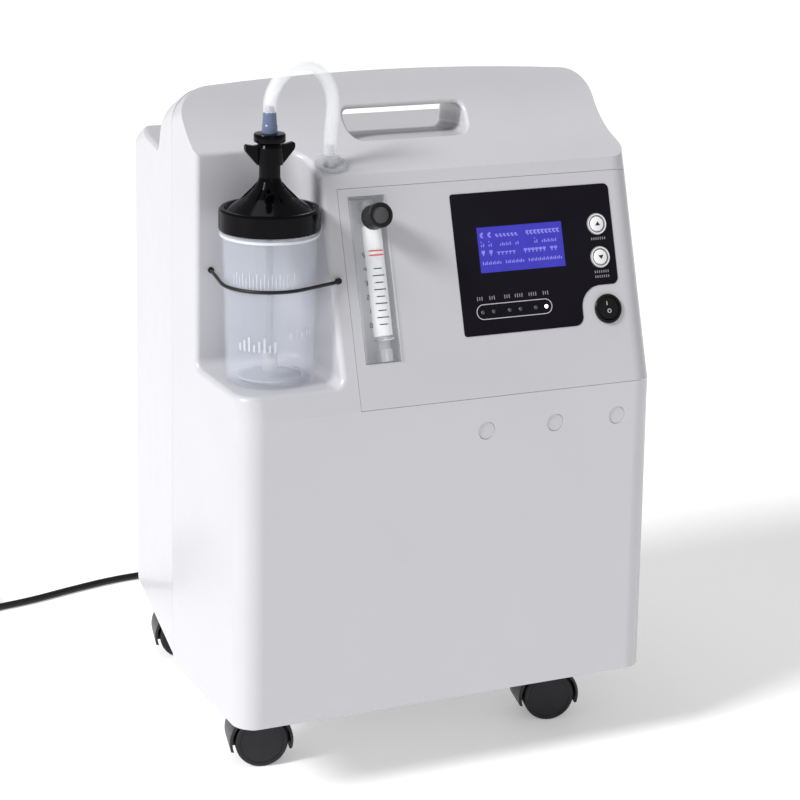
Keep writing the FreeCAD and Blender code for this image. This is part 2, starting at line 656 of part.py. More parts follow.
def outlet_fitting():
    """Clear flanged spigot screwed through the head, with a nut behind."""
    z = head_z(OUTLET_Y)
    lean = Vector(0, -math.sin(HEAD_LOW_SLOPE), math.cos(HEAD_LOW_SLOPE))
    foot = Vector(OUTLET_X, OUTLET_Y, z)
    flange = Part.makeCylinder(14.0, 3.0, foot + lean * 0.05, lean)
    flange = flange.makeFillet(1.0, [e for e in flange.Edges if e.Length > 70])
    boss = cylinder(8.0, (OUTLET_X, OUTLET_Y, z), (OUTLET_X, OUTLET_Y, z + 8.0))
    boss = boss.cut(Part.makeCylinder(60, 40, foot + lean * 0.05, lean * -1))
    spigot = cylinder(HOSE_BORE_R - 0.1, (OUTLET_X, OUTLET_Y, z), (OUTLET_X, OUTLET_Y, z + 17.0))
    shank = cylinder(6.0, (OUTLET_X, OUTLET_Y, z - 16), (OUTLET_X, OUTLET_Y, z + 2))
    bore = cylinder(2.0, (OUTLET_X, OUTLET_Y, z - 20), (OUTLET_X, OUTLET_Y, z + 40))
    return flange.fuse(boss).fuse(spigot).fuse(shank).cut(bore)


def sweep(wire, radius):
    """Round tube along a wire of lines and tangent arcs."""
    start = wire.OrderedVertexes[0].Point
    edge = wire.OrderedEdges[0]
    direction = edge.tangentAt(edge.FirstParameter)
    if (edge.valueAt(edge.FirstParameter) - start).Length > 1e-6:
        direction = -edge.tangentAt(edge.LastParameter)
    ring = Part.Wire(Part.makeCircle(radius, start, direction))
    return wire.makePipeShell([ring], True, True)


def blended_path(points, ratio=0.45, label=None):
    """Straight runs joined by tangent arcs as large as the shorter run allows."""
    points = [Vector(*p) for p in points]
    edges, position = [], points[0]
    radii = []
    for a, b, c in zip(points, points[1:], points[2:]):
        before, after = a - b, c - b
        shorter = min(before.Length, after.Length)
        before.normalize()
        after.normalize()
        half = math.acos(max(-1, min(1, before.dot(after)))) / 2
        reach = ratio * shorter
        radius = reach * math.tan(half)
        radii.append(round(radius, 1))
        start, end = b + before * reach, b + after * reach
        inward = (before + after).normalize()
        middle = b + inward * (radius / math.sin(half) - radius)
        edges.append(Part.makeLine(position, start))
        edges.append(Part.Arc(start, middle, end).toShape())
        position = end
    edges.append(Part.makeLine(position, points[-1]))
    wire = Part.Wire(edges)
    if label:
        print(label, "arc radii", radii, "length", round(wire.Length, 1))
    return wire


def outlet_hose():
    """Clear hose from the outlet, over in an arch, to the humidifier's spigot."""
    low, top = head_z(OUTLET_Y) + 8.3, 588.5
    span = (OUTLET_X - BOTTLE_X, OUTLET_Y - BOTTLE_Y)
    points = [(BOTTLE_X + span[0] * t, BOTTLE_Y + span[1] * t, z) for t, z in
              ((0.0, top), (0.0, 597.0), (0.05, 605.5), (0.17, 615.5), (0.385, 622.7), (0.645, 622.7),
               (0.870, 615.0), (1.020, 600.5), (1.05, 583.0), (1.0, 565.0), (1.0, low))]
    wire = blended_path(points, label="hose")
    tube = sweep(wire, HOSE_R)
    bore = sweep(wire, HOSE_BORE_R)
    return tube.cut(bore)


# ---------------------------------------------------------------- casters
def caster_plates():
    """Top plate and stem of each caster, bolted under the tray."""
    plates = []
    for x, y in CASTER_PIVOTS.values():
        plate = box(x - 19, x + 19, y - 12, y + 12, PLATE_Z - 3, PLATE_Z - 0.05)
        plate = plate.makeFillet(4.0, [e for e in plate.Edges if abs(e.Length - 2.95) < 0.01])
        plates.append(plate.fuse(cylinder(5.0, (x, y, 47), (x, y, PLATE_Z - 3))))
    return Part.makeCompound(plates)


def caster_frame(corner):
    """Pivot, and the middle of the wheel pair before the caster is swivelled."""
    x, y = CASTER_PIVOTS[corner]
    return x, y, x + math.copysign(TRAIL, x)


def swivelled(shape, x, y):
    shape.rotate(Vector(x, y, 0), Vector(0, 0, 1), SWIVEL)
    return shape


def wheel_rooms(wx, y):
    """The two spaces under the hood that the wheels turn in."""
    return [cylinder(HOOD_BORE_R, (wx, y + side * WEB_HALF, WHEEL_R), (wx, y + side * 40, WHEEL_R))
            for side in (-1, 1)]


def caster_hood(corner):
    """Swivel body: mudguards over both wheels, a web between them and the stem socket."""
    x, y, wx = caster_frame(corner)
    half = CASTER_HALF - 0.5
    guard = cylinder(HOOD_R, (wx, y - half, WHEEL_R), (wx, y + half, WHEEL_R))
    guard = guard.makeFillet(1.8, [e for e in guard.Edges if e.Length > 150 and e.BoundBox.YLength < 0.1])
    guard = guard.cut(box(wx - 40, wx + 40, y - 30, y + 30, -10, HOOD_FOOT_Z))
    tower = cylinder(13.0, (x, y, 38), (x, y, 66.5))
    hub = cylinder(8.0, (wx, y - WEB_HALF, WHEEL_R), (wx, y + WEB_HALF, WHEEL_R))
    body = guard.fuse(tower)
    for room in wheel_rooms(wx, y):
        body = body.cut(room)
    body = body.fuse(hub).cut(cylinder(3.0, (wx, y - 10, WHEEL_R), (wx, y + 10, WHEEL_R)))
    return swivelled(body.cut(cylinder(5.0 + PIVOT_CLEARANCE, (x, y, 46.5), (x, y, 70))), x, y)


def caster_axle(corner):
    x, y, wx = caster_frame(corner)
    reach = CASTER_HALF - 1.6
    return swivelled(cylinder(3.0, (wx, y - reach, WHEEL_R), (wx, y + reach, WHEEL_R)), x, y)


def caster_wheels(corner):
    """Pair of wheels that turn on one axle."""
    x, y, wx = caster_frame(corner)
    wheels = []
    for side in (-1, 1):
        inner, outer = y + side * (WEB_HALF + 0.7), y + side * CASTER_HALF
        wheel = cylinder(WHEEL_R, (wx, inner, WHEEL_R), (wx, outer, WHEEL_R))
        rims = [e for e in wheel.Edges if e.Length > 140 and e.BoundBox.YLength < 0.1]
        wheel = wheel.makeFillet(2.0, rims)
        groove = cylinder(19.5, (wx, outer - side * 0.4, WHEEL_R), (wx, outer + side, WHEEL_R))
        groove = groove.cut(cylinder(18.7, (wx, outer - side, WHEEL_R), (wx, outer + 2 * side, WHEEL_R)))
        bore = cylinder(3.0 + PIVOT_CLEARANCE, (wx, inner - side, WHEEL_R),
                        (wx, outer - side * 1.4, WHEEL_R))
        wheels.append(wheel.cut(groove).cut(bore))
    return swivelled(Part.makeCompound(wheels), x, y)


# ---------------------------------------------------------------- rear fittings
def slatted_plate(x0, x1, z0, z1, y0, y1, slots):
    """Plate with a row of level slots."""
    plate = box(x0, x1, y0, y1, z0, z1)
    plate = plate.makeFillet(3.0, [e for e in plate.Edges if abs(e.Length - (y1 - y0)) < 0.01])
    margin = 11.0
    pitch = (z1 - z0 - 2 * margin) / slots
    for i in range(slots):
        z = z0 + margin + pitch * (i + 0.22)
        plate = plate.cut(box(x0 + margin, x1 - margin, y0 - 1, y1 + 1, z, z + pitch * 0.56))
    return plate


def exhaust_grille():
    x0, x1, z0, z1 = GRILLE
    return slatted_plate(x0, x1, z0, z1, Y_REAR - 3.0, Y_REAR - 0.3, 7)


def filter_door():
    """Louvred door over the intake filter; it pulls straight off its clips."""
    x0, x1, z0, z1 = FILTER
    door = slatted_plate(x0, x1, z0, z1, Y_REAR - 3.0, Y_REAR - 0.3, 10)
    finger_slot = box(-18, 18, Y_REAR - 5, Y_REAR + 5, z1 - 8, z1 + 5)
    return door.cut(finger_slot)


def intake_filter():
    x0, x1, z0, z1 = FILTER
    return box(x0 + 2, x1 - 2, Y_REAR - 15.5, Y_REAR - 3.2, z0 + 2, z1 - 2)


# ---------------------------------------------------------------- machine inside


def compressor():
    """Twin-head oil-free compressor: motor barrel, two heads and a foot plate."""
    x, y = COMPRESSOR
    z = 152.0
    barrel = cylinder(46.0, (x - 62, y, z), (x + 62, y, z))
    pieces = [barrel, box(x - 70, x + 70, y - 40, y + 40, 96, 104),
              box(x - 44, x + 44, y - 26, y + 26, 103, 124)]
    for side in (-1, 1):
        head_x = x + side * 76
        pieces.append(box(head_x - 20, head_x + 20, y - 30, y + 30, 120, 222))
        pieces.append(cylinder(10.0, (head_x, y, 222), (head_x, y, 230)))
    return union(pieces)


def compressor_springs():
    """Four coil mounts, as sleeves of the springs' outer size."""
    x, y = COMPRESSOR
    sleeves = []
    for dx in (-58, 58):
        for dy in (-32, 32):
            outer = cylinder(9.0, (x + dx, y + dy, PLATE_Z + 2), (x + dx, y + dy, 96))
            sleeves.append(outer.cut(cylinder(6.6, (x + dx, y + dy, 60), (x + dx, y + dy, 100))))
    return Part.makeCompound(sleeves)


def sieve_tanks():
    tanks = []
    for x, y in TANKS:
        tank = cylinder(37.0, (x, y, PLATE_Z + 2), (x, y, 424))
        tank = tank.makeFillet(6.0, [e for e in tank.Edges if e.Length > 150])
        tanks.append(tank)
    return Part.makeCompound(tanks)


def valve_block():
    (x0, y), (x1, _) = TANKS
    block = box(x0 - 20, x1 + 20, y - 22, y + 22, 424, 452)
    coils = [cylinder(13.0, (x, y, 452), (x, y, 488)) for x in (x0, (x0 + x1) / 2, x1)]
    return union([block] + coils)


def surge_tank():
    tank = cylinder(31.0, (-138, 18, PLATE_Z + 2), (-138, 18, 270))
    return tank.makeFillet(9.0, [e for e in tank.Edges if e.Length > 150])


def heat_exchanger():
    """Finned tube coil between two standing end plates; it cools the compressed air."""
    pieces = [box(6, 92, 94 + 8 * i, 95.2 + 8 * i, 250, 330) for i in range(5)]
    pieces += [cylinder(4.0, (2, 110.6, 262 + 28 * i), (96, 110.6, 262 + 28 * i)) for i in range(3)]
    pieces += [box(x, x + 3, 88, 132, PLATE_Z + 2, 334) for x in (5, 90)]
    return union(pieces)




def fan_frame():
    x, y, z = FAN
    frame = box(x - 60, x + 60, y - 60, y + 60, z - 16, z + 16)
    frame = frame.cut(cylinder(56.0, (x, y, z - 20), (x, y, z + 20)))
    motor = cylinder(18.0, (x, y, z - 16), (x, y, z - 12))
    struts = [box(x - 60, x + 60, y - 2, y + 2, z - 16, z - 12),
              box(x - 2, x + 2, y - 60, y + 60, z - 16, z - 12)]
    struts += [box(x + i * 57 - 3, x + i * 57 + 3, y + j * 57 - 3, y + j * 57 + 3, PLATE_Z + 2, z)
               for i in (-1, 1) for j in (-1, 1)]
    pin = cylinder(3.0, (x, y, z - 14), (x, y, z + 8))
    return union([frame, motor, pin] + struts)


def fan_rotor():
    x, y, z = FAN
    hub = cylinder(19.0, (x, y, z - 10), (x, y, z + 14))
    blades = []
    for i in range(7):
        blade = box(x + 17, x + 53, y - 1.2, y + 1.2, z - 9, z + 13)
        blade.rotate(Vector(x + 35, y, z), Vector(1, 0, 0), 38)
        blade.rotate(Vector(x, y, z), Vector(0, 0, 1), 360 * i / 7)
        blades.append(blade)
    rotor = union([hub] + blades).common(cylinder(54.0, (x, y, z - 11), (x, y, z + 15)))
    return rotor.cut(cylinder(3.0 + PIVOT_CLEARANCE, (x, y, z - 12), (x, y, z + 8.5)))


def control_board():
    """Circuit board on four posts behind the panel, with its tallest components."""
    board = box(22, 158, 46, 152, -26.6, -25)
    parts = [box(40, 70, 60, 80, -29, -26.6), box(90, 100, 120, 140, -35, -26.6),
             box(120, 148, 100, 112, -31, -26.6)]
    parts += [cylinder(3.0, (x, v, -25), (x, v, -WALL)) for x in (28, 132) for v in (51, 148)]
    return on_panel(union([board] + parts))


def run_capacitor():
    can = cylinder(20.0, (150, -128, PLATE_Z + 2), (150, -128, 158))
    return can.makeFillet(2.0, [e for e in can.Edges if e.Length > 100]).fuse(
        cylinder(4.0, (150, -128, 158), (150, -128, 168)))


def intake_muffler():
    can = cylinder(26.0, (130, 128, PLATE_Z + 2), (130, 128, 166))
    return can.makeFillet(5.0, [e for e in can.Edges if e.Length > 100]).fuse(
        cylinder(8.0, (130, 128, 160), (130, 128, 184)))


# ---------------------------------------------------------------- mains cord
def cord_grommet():
    """Strain relief that tapers along the cord."""
    x, y, z = CORD_EXIT
    flange = cylinder(11.5, (x, y + 0.1, z), (x, y + 3.0, z))
    neck = cylinder(8.8, (x, y - 6.0, z), (x, y + 0.2, z))
    taper = Part.makeCone(7.4, 5.0, GROMMET_LENGTH - 3.0, Vector(x, y + 3.0, z), Vector(0, 1, 0))
    return flange.fuse(neck).fuse(taper)


def power_cord():
    wire = blended_path(CORD_ROUTE, label="cord")
    tube = sweep(wire, CORD_R)
    expected = math.pi * CORD_R ** 2 * wire.Length
    print("cord volume ratio", round(tube.Volume / expected, 4))
    return tube


def coil_centre():
    """Centre of the coil that the last run of the cord meets as a tangent."""
    x, y, _ = CORD_ROUTE[-1]
    outer_turn = COIL_MID_R + CORD_R
    return (x + outer_turn * math.sin(COIL_HEADING), y - outer_turn * math.cos(COIL_HEADING))


def plug_frame():
    """Start point and heading of the cord's last stretch, which ends in the plug."""
    cx, cy = coil_centre()
    leave = math.radians(200.0)
    outer_turn = COIL_MID_R + CORD_R
    start = Vector(cx + outer_turn * math.cos(leave), cy + outer_turn * math.sin(leave), PLUG_R)
    heading = Vector(math.sin(leave), -math.cos(leave), 0)
    return start, heading


def cord_coil():
    """Outer shape of six turns, two side by side and three high, and the short tail."""
    cx, cy = coil_centre()
    low, high = 0.2, 0.2 + 6 * CORD_R
    ring = cylinder(COIL_MID_R + 2 * CORD_R, (cx, cy, low), (cx, cy, high))
    ring = ring.cut(cylinder(COIL_MID_R - 2 * CORD_R, (cx, cy, low - 1), (cx, cy, high + 1)))
    start, heading = plug_frame()
    tail = Part.makeCylinder(CORD_R, TAIL_LENGTH, start, heading)
    return ring.fuse(tail)


def power_plug():
    """Moulded two-pin plug lying on the floor at the end of the tail."""
    start, heading = plug_frame()
    root = start + heading * TAIL_LENGTH
    neck = Part.makeCone(6.0, 9.0, 16.0, root, heading)
    grip = Part.makeCone(10.0, PLUG_R, 12.0, root + heading * 14.0, heading)
    body = Part.makeCylinder(PLUG_R, PLUG_LENGTH - 26.0, root + heading * 26.0, heading)
    return neck.fuse(grip).fuse(body)


def plug_pins():
    start, heading = plug_frame()
    face = start + heading * (TAIL_LENGTH + PLUG_LENGTH)
    across = Vector(-heading.y, heading.x, 0)
    pins = []
    for side in (-1, 1):
        pin = Part.makeCylinder(2.4, 19.0, face + across * (9.5 * side) + heading * 0.05, heading)
        pins.append(pin)
    return Part.makeCompound(pins)


# ---------------------------------------------------------------- write the parts
def main():
    os.makedirs("parts", exist_ok=True)
    shell = front_shell()
    save("front_cover", front_cover(shell))
    save("control_panel", control_panel(shell))
    for make in (rear_cover, base_tray, cover_screws, screw_caps, panel_overlay, display_screen,
                 status_lights, switch_bezel, power_rocker, meter_body, meter_fittings, meter_float,
                 valve_stem, flow_knob, bottle_jar, bottle_lid, wing_connector, inlet_spigot, dip_tube,
                 diffuser, bottle_strap, strap_anchors, outlet_fitting, outlet_hose, caster_plates,
                 exhaust_grille, filter_door, intake_filter, compressor, compressor_springs, sieve_tanks,
                 valve_block, surge_tank, heat_exchanger, fan_frame, fan_rotor, control_board,
                 run_capacitor, intake_muffler, cord_grommet, power_cord, cord_coil, power_plug, plug_pins):
        save(make.__name__, make())
    save("up_button", panel_button(*BUTTONS[0]))
    save("down_button", panel_button(*BUTTONS[1]))
    for corner in CASTER_PIVOTS:
        save("caster_hood_" + corner, caster_hood(corner))
        save("caster_axle_" + corner, caster_axle(corner))
        save("caster_wheels_" + corner, caster_wheels(corner))


main()
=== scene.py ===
import math

import bmesh
import bpy
from mathutils import Matrix, Vector


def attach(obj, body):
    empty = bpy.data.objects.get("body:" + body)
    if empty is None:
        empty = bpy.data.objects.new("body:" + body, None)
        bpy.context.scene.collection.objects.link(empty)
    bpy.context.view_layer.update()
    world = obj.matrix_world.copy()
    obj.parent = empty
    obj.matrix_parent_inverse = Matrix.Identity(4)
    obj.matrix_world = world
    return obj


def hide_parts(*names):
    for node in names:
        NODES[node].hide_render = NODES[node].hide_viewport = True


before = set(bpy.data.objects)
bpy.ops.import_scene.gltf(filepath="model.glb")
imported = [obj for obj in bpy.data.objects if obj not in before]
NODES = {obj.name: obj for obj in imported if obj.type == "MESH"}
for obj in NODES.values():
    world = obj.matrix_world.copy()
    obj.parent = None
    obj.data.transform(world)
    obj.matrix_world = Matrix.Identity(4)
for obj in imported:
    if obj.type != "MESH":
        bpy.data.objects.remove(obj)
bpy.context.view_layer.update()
ROOT = "cabinet"

UP = Vector((0, 0, 1))

# ---- sizes shared with the CAD, metres; x and v run across and up the sloped panel ----
Y_FRONT = -0.187
Z_BEND = 0.3464
TILT = math.radians(18.3)
NORMAL = Vector((0, -math.cos(TILT), math.sin(TILT)))
UPHILL = Vector((0, math.sin(TILT), math.cos(TILT)))
SWITCH = (0.1517, 0.0644)
BUTTONS = {"up_button": (0.1497, 0.138), "down_button": (0.1496, 0.1094)}
SCREEN = (0.0344, 0.1169, 0.1035, 0.1441)      # x0, x1, v0, v1
LED_XS = (0.0331, 0.0433, 0.0582, 0.0684, 0.083, 0.093)
LED_V = 0.0716
OVERLAY_FACE = 0.0004          # the overlay's face over the panel

# the flow meter
KNOB = (-0.0605, 0.158)
METER_X = (-0.0772, -0.0448)
METER_V = (0.0383, 0.1767)
METER_EDGE = 0.0006
METER_FACE = 0.00155           # where its printed marks start over the panel
BORE = (-0.056, -0.008)        # x and depth of the bore
SCALE_X, SCALE_V0, SCALE_STEP = -0.0583, 0.0699, 0.0058
NUMBER_X = -0.0697
RED_VS = (0.1274, 0.1311)

# the humidifier bottle
BOTTLE = Vector((-0.1455, -0.131, 0))
JAR_Z0, JAR_Z1 = 0.3663, 0.489
JAR_R0, JAR_R1 = 0.0369, 0.0395
SKIRT_R = 0.0413               # the lid's skirt

# the outlet hose
OUTLET = Vector((-0.084, -0.109, 0))
HOSE_Z0, HOSE_Z1 = 0.5458, 0.5885
HOSE_R = 0.0056
HOSE_WALL = 0.0017

# the mains cord
CORD_D = 0.007
CORD_ROUTE = (
    (-0.030, 0.215, 0.098), (-0.030, 0.248, 0.098), (-0.030, 0.290, 0.077), (-0.034, 0.322, 0.043),
    (-0.047, 0.348, 0.013), (-0.084, 0.366, 0.0037), (-0.136, 0.365, 0.0037),
    (-0.190, 0.352, 0.0037), (-0.236, 0.338, 0.0037), (-0.282, 0.331, 0.0037),
    (-0.318, 0.319, 0.0037),
)
COIL_HEADING = math.radians(198.4)
COIL_R = 0.0385                # middle of the coil's two columns of turns
COIL_TURNS = 6
COIL_MID_Z = 0.0107
TAIL = 0.026                   # from the coil to the plug


# ---------------------------------------------------------------- materials
def material(name):
    """A new material with its nodes, links and shader."""
    mat = bpy.data.materials.new(name)
    mat.use_nodes = True
    nodes = mat.node_tree.nodes
    return mat, nodes, mat.node_tree.links, nodes["Principled BSDF"]


def noise(nodes, links, scale, detail=3.0, rough=0.5):
    """Noise in the object's own coordinates."""
    coords = nodes.new("ShaderNodeTexCoord")
    tex = nodes.new("ShaderNodeTexNoise")
    tex.inputs["Scale"].default_value = scale
    tex.inputs["Detail"].default_value = detail
    tex.inputs["Roughness"].default_value = rough
    links.new(coords.outputs["Object"], tex.inputs["Vector"])
    return tex.outputs["Fac"]


def ramp(nodes, links, source, low, high, a, b):
    """Colour ramp between two colours over part of a value's range."""
    node = nodes.new("ShaderNodeValToRGB")
    node.color_ramp.elements[0].position = low
    node.color_ramp.elements[1].position = high
    node.color_ramp.elements[0].color = (*a, 1)
    node.color_ramp.elements[1].color = (*b, 1)
    links.new(source, node.inputs["Fac"])
    return node.outputs["Color"]


def span(nodes, links, source, low, high):
    """A value from 0 to 1 mapped to low to high."""
    node = nodes.new("ShaderNodeMapRange")
    node.inputs["To Min"].default_value = low
    node.inputs["To Max"].default_value = high
    links.new(source, node.inputs["Value"])
    return node.outputs["Result"]


def bump(nodes, links, shader, height, distance, strength=1.0):
    node = nodes.new("ShaderNodeBump")
    node.inputs["Distance"].default_value = distance
    node.inputs["Strength"].default_value = strength
    links.new(height, node.inputs["Height"])
    links.new(node.outputs["Normal"], shader.inputs["Normal"])


def tint(color, factor):
    return tuple(min(1.0, c * factor) for c in color)


def moulded(name, color, rough=0.42, spread=0.06, vary=0.04, grain=900.0, depth=0.00004,
            spec=0.5, coat=0.0):
    """Moulded plastic or paint: faint cloudy colour, uneven gloss and a fine grain."""
    mat, nodes, links, shader = material(name)
    cloud = noise(nodes, links, 14.0)
    links.new(ramp(nodes, links, cloud, 0.3, 0.7, tint(color, 1 - vary), tint(color, 1 + vary)),
              shader.inputs["Base Color"])
    patches = noise(nodes, links, 60.0, 4.0)
    links.new(span(nodes, links, patches, rough - spread, rough + spread), shader.inputs["Roughness"])
    bump(nodes, links, shader, noise(nodes, links, grain, 2.0), depth)
    shader.inputs["Specular IOR Level"].default_value = spec
    shader.inputs["Coat Weight"].default_value = coat
    shader.inputs["Coat Roughness"].default_value = 0.12
    return mat


def metal(name, color, rough=0.3, scratch=220.0):
    """Metal with cloudy colour and fine uneven gloss."""
    mat, nodes, links, shader = material(name)
    shader.inputs["Metallic"].default_value = 1.0
    cloud = noise(nodes, links, 40.0, 4.0)
    links.new(ramp(nodes, links, cloud, 0.3, 0.7, tint(color, 0.9), tint(color, 1.05)),
              shader.inputs["Base Color"])
    fine = noise(nodes, links, scratch, 6.0, 0.7)
    links.new(span(nodes, links, fine, rough - 0.1, rough + 0.12), shader.inputs["Roughness"])
    bump(nodes, links, shader, fine, 0.00002)
    return mat


def clear(name, color, rough=0.06, alpha=1.0, vary=0.03, haze=0.03, spec=0.5, glow=0.0):
    """Clear or frosted plastic; a low alpha lets the light through each wall. A glow above zero is painted
    light: the part shines of itself though it is no lamp.
    """
    mat, nodes, links, shader = material(name)
    cloud = noise(nodes, links, 30.0)
    links.new(ramp(nodes, links, cloud, 0.3, 0.7, tint(color, 1 - vary), tint(color, 1 + vary)),
              shader.inputs["Base Color"])
    links.new(span(nodes, links, noise(nodes, links, 90.0), max(0.0, rough - haze), rough + haze),
              shader.inputs["Roughness"])
    shader.inputs["IOR"].default_value = 1.45
    shader.inputs["Alpha"].default_value = alpha
    shader.inputs["Specular IOR Level"].default_value = spec
    # glow is painted light: emission on a part that is no lamp
    shader.inputs["Emission Color"].default_value = (1, 1, 1, 1)
    shader.inputs["Emission Strength"].default_value = glow
    bump(nodes, links, shader, noise(nodes, links, 300.0), 0.00001)
    return mat


def glowing(name, color, strength, base=None):
    """A surface that gives light of its own."""
    mat, nodes, links, shader = material(name)
    cloud = noise(nodes, links, 120.0)
    links.new(ramp(nodes, links, cloud, 0.2, 0.8, tint(color, 0.93), tint(color, 1.05)),
              shader.inputs["Emission Color"])
    shader.inputs["Emission Strength"].default_value = strength
    base = base or color
    links.new(ramp(nodes, links, cloud, 0.3, 0.7, tint(base, 0.9), tint(base, 1.05)),
              shader.inputs["Base Color"])
    shader.inputs["Roughness"].default_value = 0.2
    return mat


def weave(name, color, scale, depth):
    """Open foam or mesh: cells with dark pores."""
    mat, nodes, links, shader = material(name)
    coords = nodes.new("ShaderNodeTexCoord")
    cells = nodes.new("ShaderNodeTexVoronoi")
    cells.inputs["Scale"].default_value = scale
    links.new(coords.outputs["Object"], cells.inputs["Vector"])
    links.new(ramp(nodes, links, cells.outputs["Distance"], 0.1, 0.6, tint(color, 0.4), color),
              shader.inputs["Base Color"])
    shader.inputs["Roughness"].default_value = 0.95
    bump(nodes, links, shader, cells.outputs["Distance"], depth)
    return mat


M = {
    "cabinet": moulded("cabinet_plastic", (0.575, 0.57, 0.60), 0.34, 0.05, 0.012, 1500.0, 0.00002,
                       0.5, 0.22),
    "panel": moulded("panel_plastic", (0.57, 0.565, 0.595), 0.34, 0.05, 0.012, 1500.0, 0.00002,
                     0.5, 0.18),
    "tray": moulded("tray_paint", (0.42, 0.42, 0.43), 0.5, 0.08, 0.05, 700.0, 0.00006),
    "caps": moulded("cap_plastic", (0.565, 0.56, 0.59), 0.36, 0.05, 0.015),
    "grey": moulded("grey_plastic", (0.36, 0.37, 0.38), 0.45),
    "black": moulded("caster_plastic", (0.014, 0.013, 0.016), 0.38, 0.08, 0.2, 800.0, 0.00005, 0.35),
    "tread": moulded("wheel_tread", (0.018, 0.017, 0.020), 0.6, 0.1, 0.25, 500.0, 0.00008, 0.3),
    "film": moulded("overlay_film", (0.007, 0.006, 0.010), 0.3, 0.05, 0.3, 1800.0, 0.00001, 0.12),
    "gloss_black": moulded("gloss_black", (0.006, 0.006, 0.007), 0.24, 0.06, 0.2, 600.0, 0.00001,
                           0.3),
    "lid": moulded("lid_plastic", (0.002, 0.002, 0.003), 0.15, 0.05, 0.2, 260.0, 0.00002, 0.09),
    "knob": moulded("knob_plastic", (0.010, 0.009, 0.010), 0.36, 0.06, 0.2, 900.0, 0.00003, 0.3),
    "knob_disc": moulded("knob_disc", (0.075, 0.072, 0.078), 0.3, 0.05, 0.1, 900.0, 0.00002, 0.3),
    "button": moulded("button_rubber", (0.86, 0.86, 0.87), 0.38, 0.05, 0.02),
    "button_ring": moulded("button_ring", (0.30, 0.30, 0.31), 0.35, 0.05, 0.05),
    "ink": moulded("black_ink", (0.01, 0.01, 0.012), 0.45),
    "white_ink": moulded("white_ink", (0.52, 0.51, 0.54), 0.4),
    "dim_ink": moulded("dim_ink", (0.26, 0.25, 0.28), 0.4),
    "grey_ink": moulded("grey_ink", (0.07, 0.07, 0.09), 0.4),
    "red_ink": moulded("red_ink", (0.72, 0.08, 0.07), 0.4),
    "screen": glowing("screen_glow", (0.034, 0.028, 0.38), 0.9, (0.02, 0.02, 0.16)),
    "glyph": glowing("glyph_glow", (0.16, 0.14, 0.56), 0.95, (0.12, 0.12, 0.3)),
    "led_off": moulded("led_off", (0.06, 0.06, 0.065), 0.25, 0.05, 0.1),
    "led_on": glowing("led_on", (0.85, 0.85, 1.0), 2.5),
    "block": clear("meter_clear", (0.86, 0.88, 0.93), 0.05, alpha=0.26, spec=1.0),
    "backing": moulded("meter_backing", (0.74, 0.74, 0.77), 0.4),
    # the flow meter's inner tube: painted glow, emission makes it shine white though it is no lamp
    "tube": clear("tube_clear_painted_glow", (1.0, 1.0, 1.0), 0.06, alpha=0.5, spec=0.8, glow=0.22),
    "dip": clear("dip_tube", (0.86, 0.88, 0.93), 0.1, alpha=0.12),
    "jar": clear("jar_frosted", (0.78, 0.82, 0.94), 0.14, alpha=0.17, spec=0.9, haze=0.06),
    "rim": clear("rim_frosted", (0.9, 0.91, 0.96), 0.2, alpha=0.6),
    "rib": clear("rib_frosted", (0.9, 0.92, 0.97), 0.2, alpha=0.32),
    # the outlet hose: painted glow, emission lightens it toward white though it is no lamp
    "hose": clear("hose_clear_painted_glow", (0.95, 0.96, 1.0), 0.14, alpha=0.26, spec=0.9, glow=0.12),
    "flange": clear("flange_clear", (0.70, 0.72, 0.76), 0.1, alpha=0.35, spec=0.9),
    "spigot": moulded("spigot_plastic", (0.115, 0.15, 0.255), 0.25, 0.05, 0.05, 700.0, 0.00002, 0.4),
    "strap": moulded("strap_rubber", (0.008, 0.008, 0.009), 0.45, 0.06, 0.04, 900.0, 0.00003, 0.35),
    "cord": moulded("cord_jacket", (0.008, 0.008, 0.009), 0.42, 0.06, 0.2, 900.0, 0.00003, 0.35),
    "steel": metal("steel", (0.62, 0.62, 0.63)),
    "chrome": metal("fitting_metal", (0.72, 0.72, 0.74), 0.2),
    "float": moulded("float_bead", (0.045, 0.045, 0.03), 0.3, 0.05, 0.1),
    "alloy": metal("cast_alloy", (0.55, 0.56, 0.57), 0.45, 90.0),
    "tank": metal("tank_alloy", (0.68, 0.69, 0.7), 0.35, 60.0),
    "foam": weave("filter_foam", (0.03, 0.03, 0.03), 700.0, 0.0004),
    "board": moulded("board_mask", (0.01, 0.12, 0.04), 0.3, 0.05, 0.2, 300.0, 0.00005),
    "diffuser": clear("diffuser_stone", (0.92, 0.92, 0.95), 0.6, alpha=0.3, vary=0.08),
}


def paint(obj, key):
    obj.data.materials.clear()
    obj.data.materials.append(M[key])
    return obj


# ---------------------------------------------------------------- piece helpers
def new_object(name, mesh, key, body=ROOT, smooth=35.0):
    """A painted piece that rides on a body; smooth is the angle in degrees that stays soft."""
    obj = bpy.data.objects.new(name, mesh)
    bpy.context.scene.collection.objects.link(obj)
    if smooth is not None and mesh.polygons:
        for poly in mesh.polygons:
            poly.use_smooth = True
        mesh.set_sharp_from_angle(angle=math.radians(smooth))
    paint(obj, key)
    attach(obj, body)
    return obj


def mesh_from(bm, name):
    mesh = bpy.data.meshes.new(name)
    bmesh.ops.recalc_face_normals(bm, faces=bm.faces)
    bm.to_mesh(mesh)
    bm.free()
    return mesh


def on_panel(x, v, w=0.0):
    """The place x across, v up and w over the sloped panel."""
    return Vector((x, Y_FRONT, Z_BEND)) + UPHILL * v + NORMAL * w


def join_rows(bm, rows):
    """Side faces from each row of corners to the next, all round."""
    for low, high in zip(rows, rows[1:]):
        for i in range(len(low)):
            j = (i + 1) % len(low)
            bm.faces.new((low[i], low[j], high[j], high[i]))


def close_solid(bm, low, high):
    """Faces of a prism-like solid between two rows of corners."""
    bm.faces.new(low[::-1])
    bm.faces.new(high)
    join_rows(bm, (low, high))


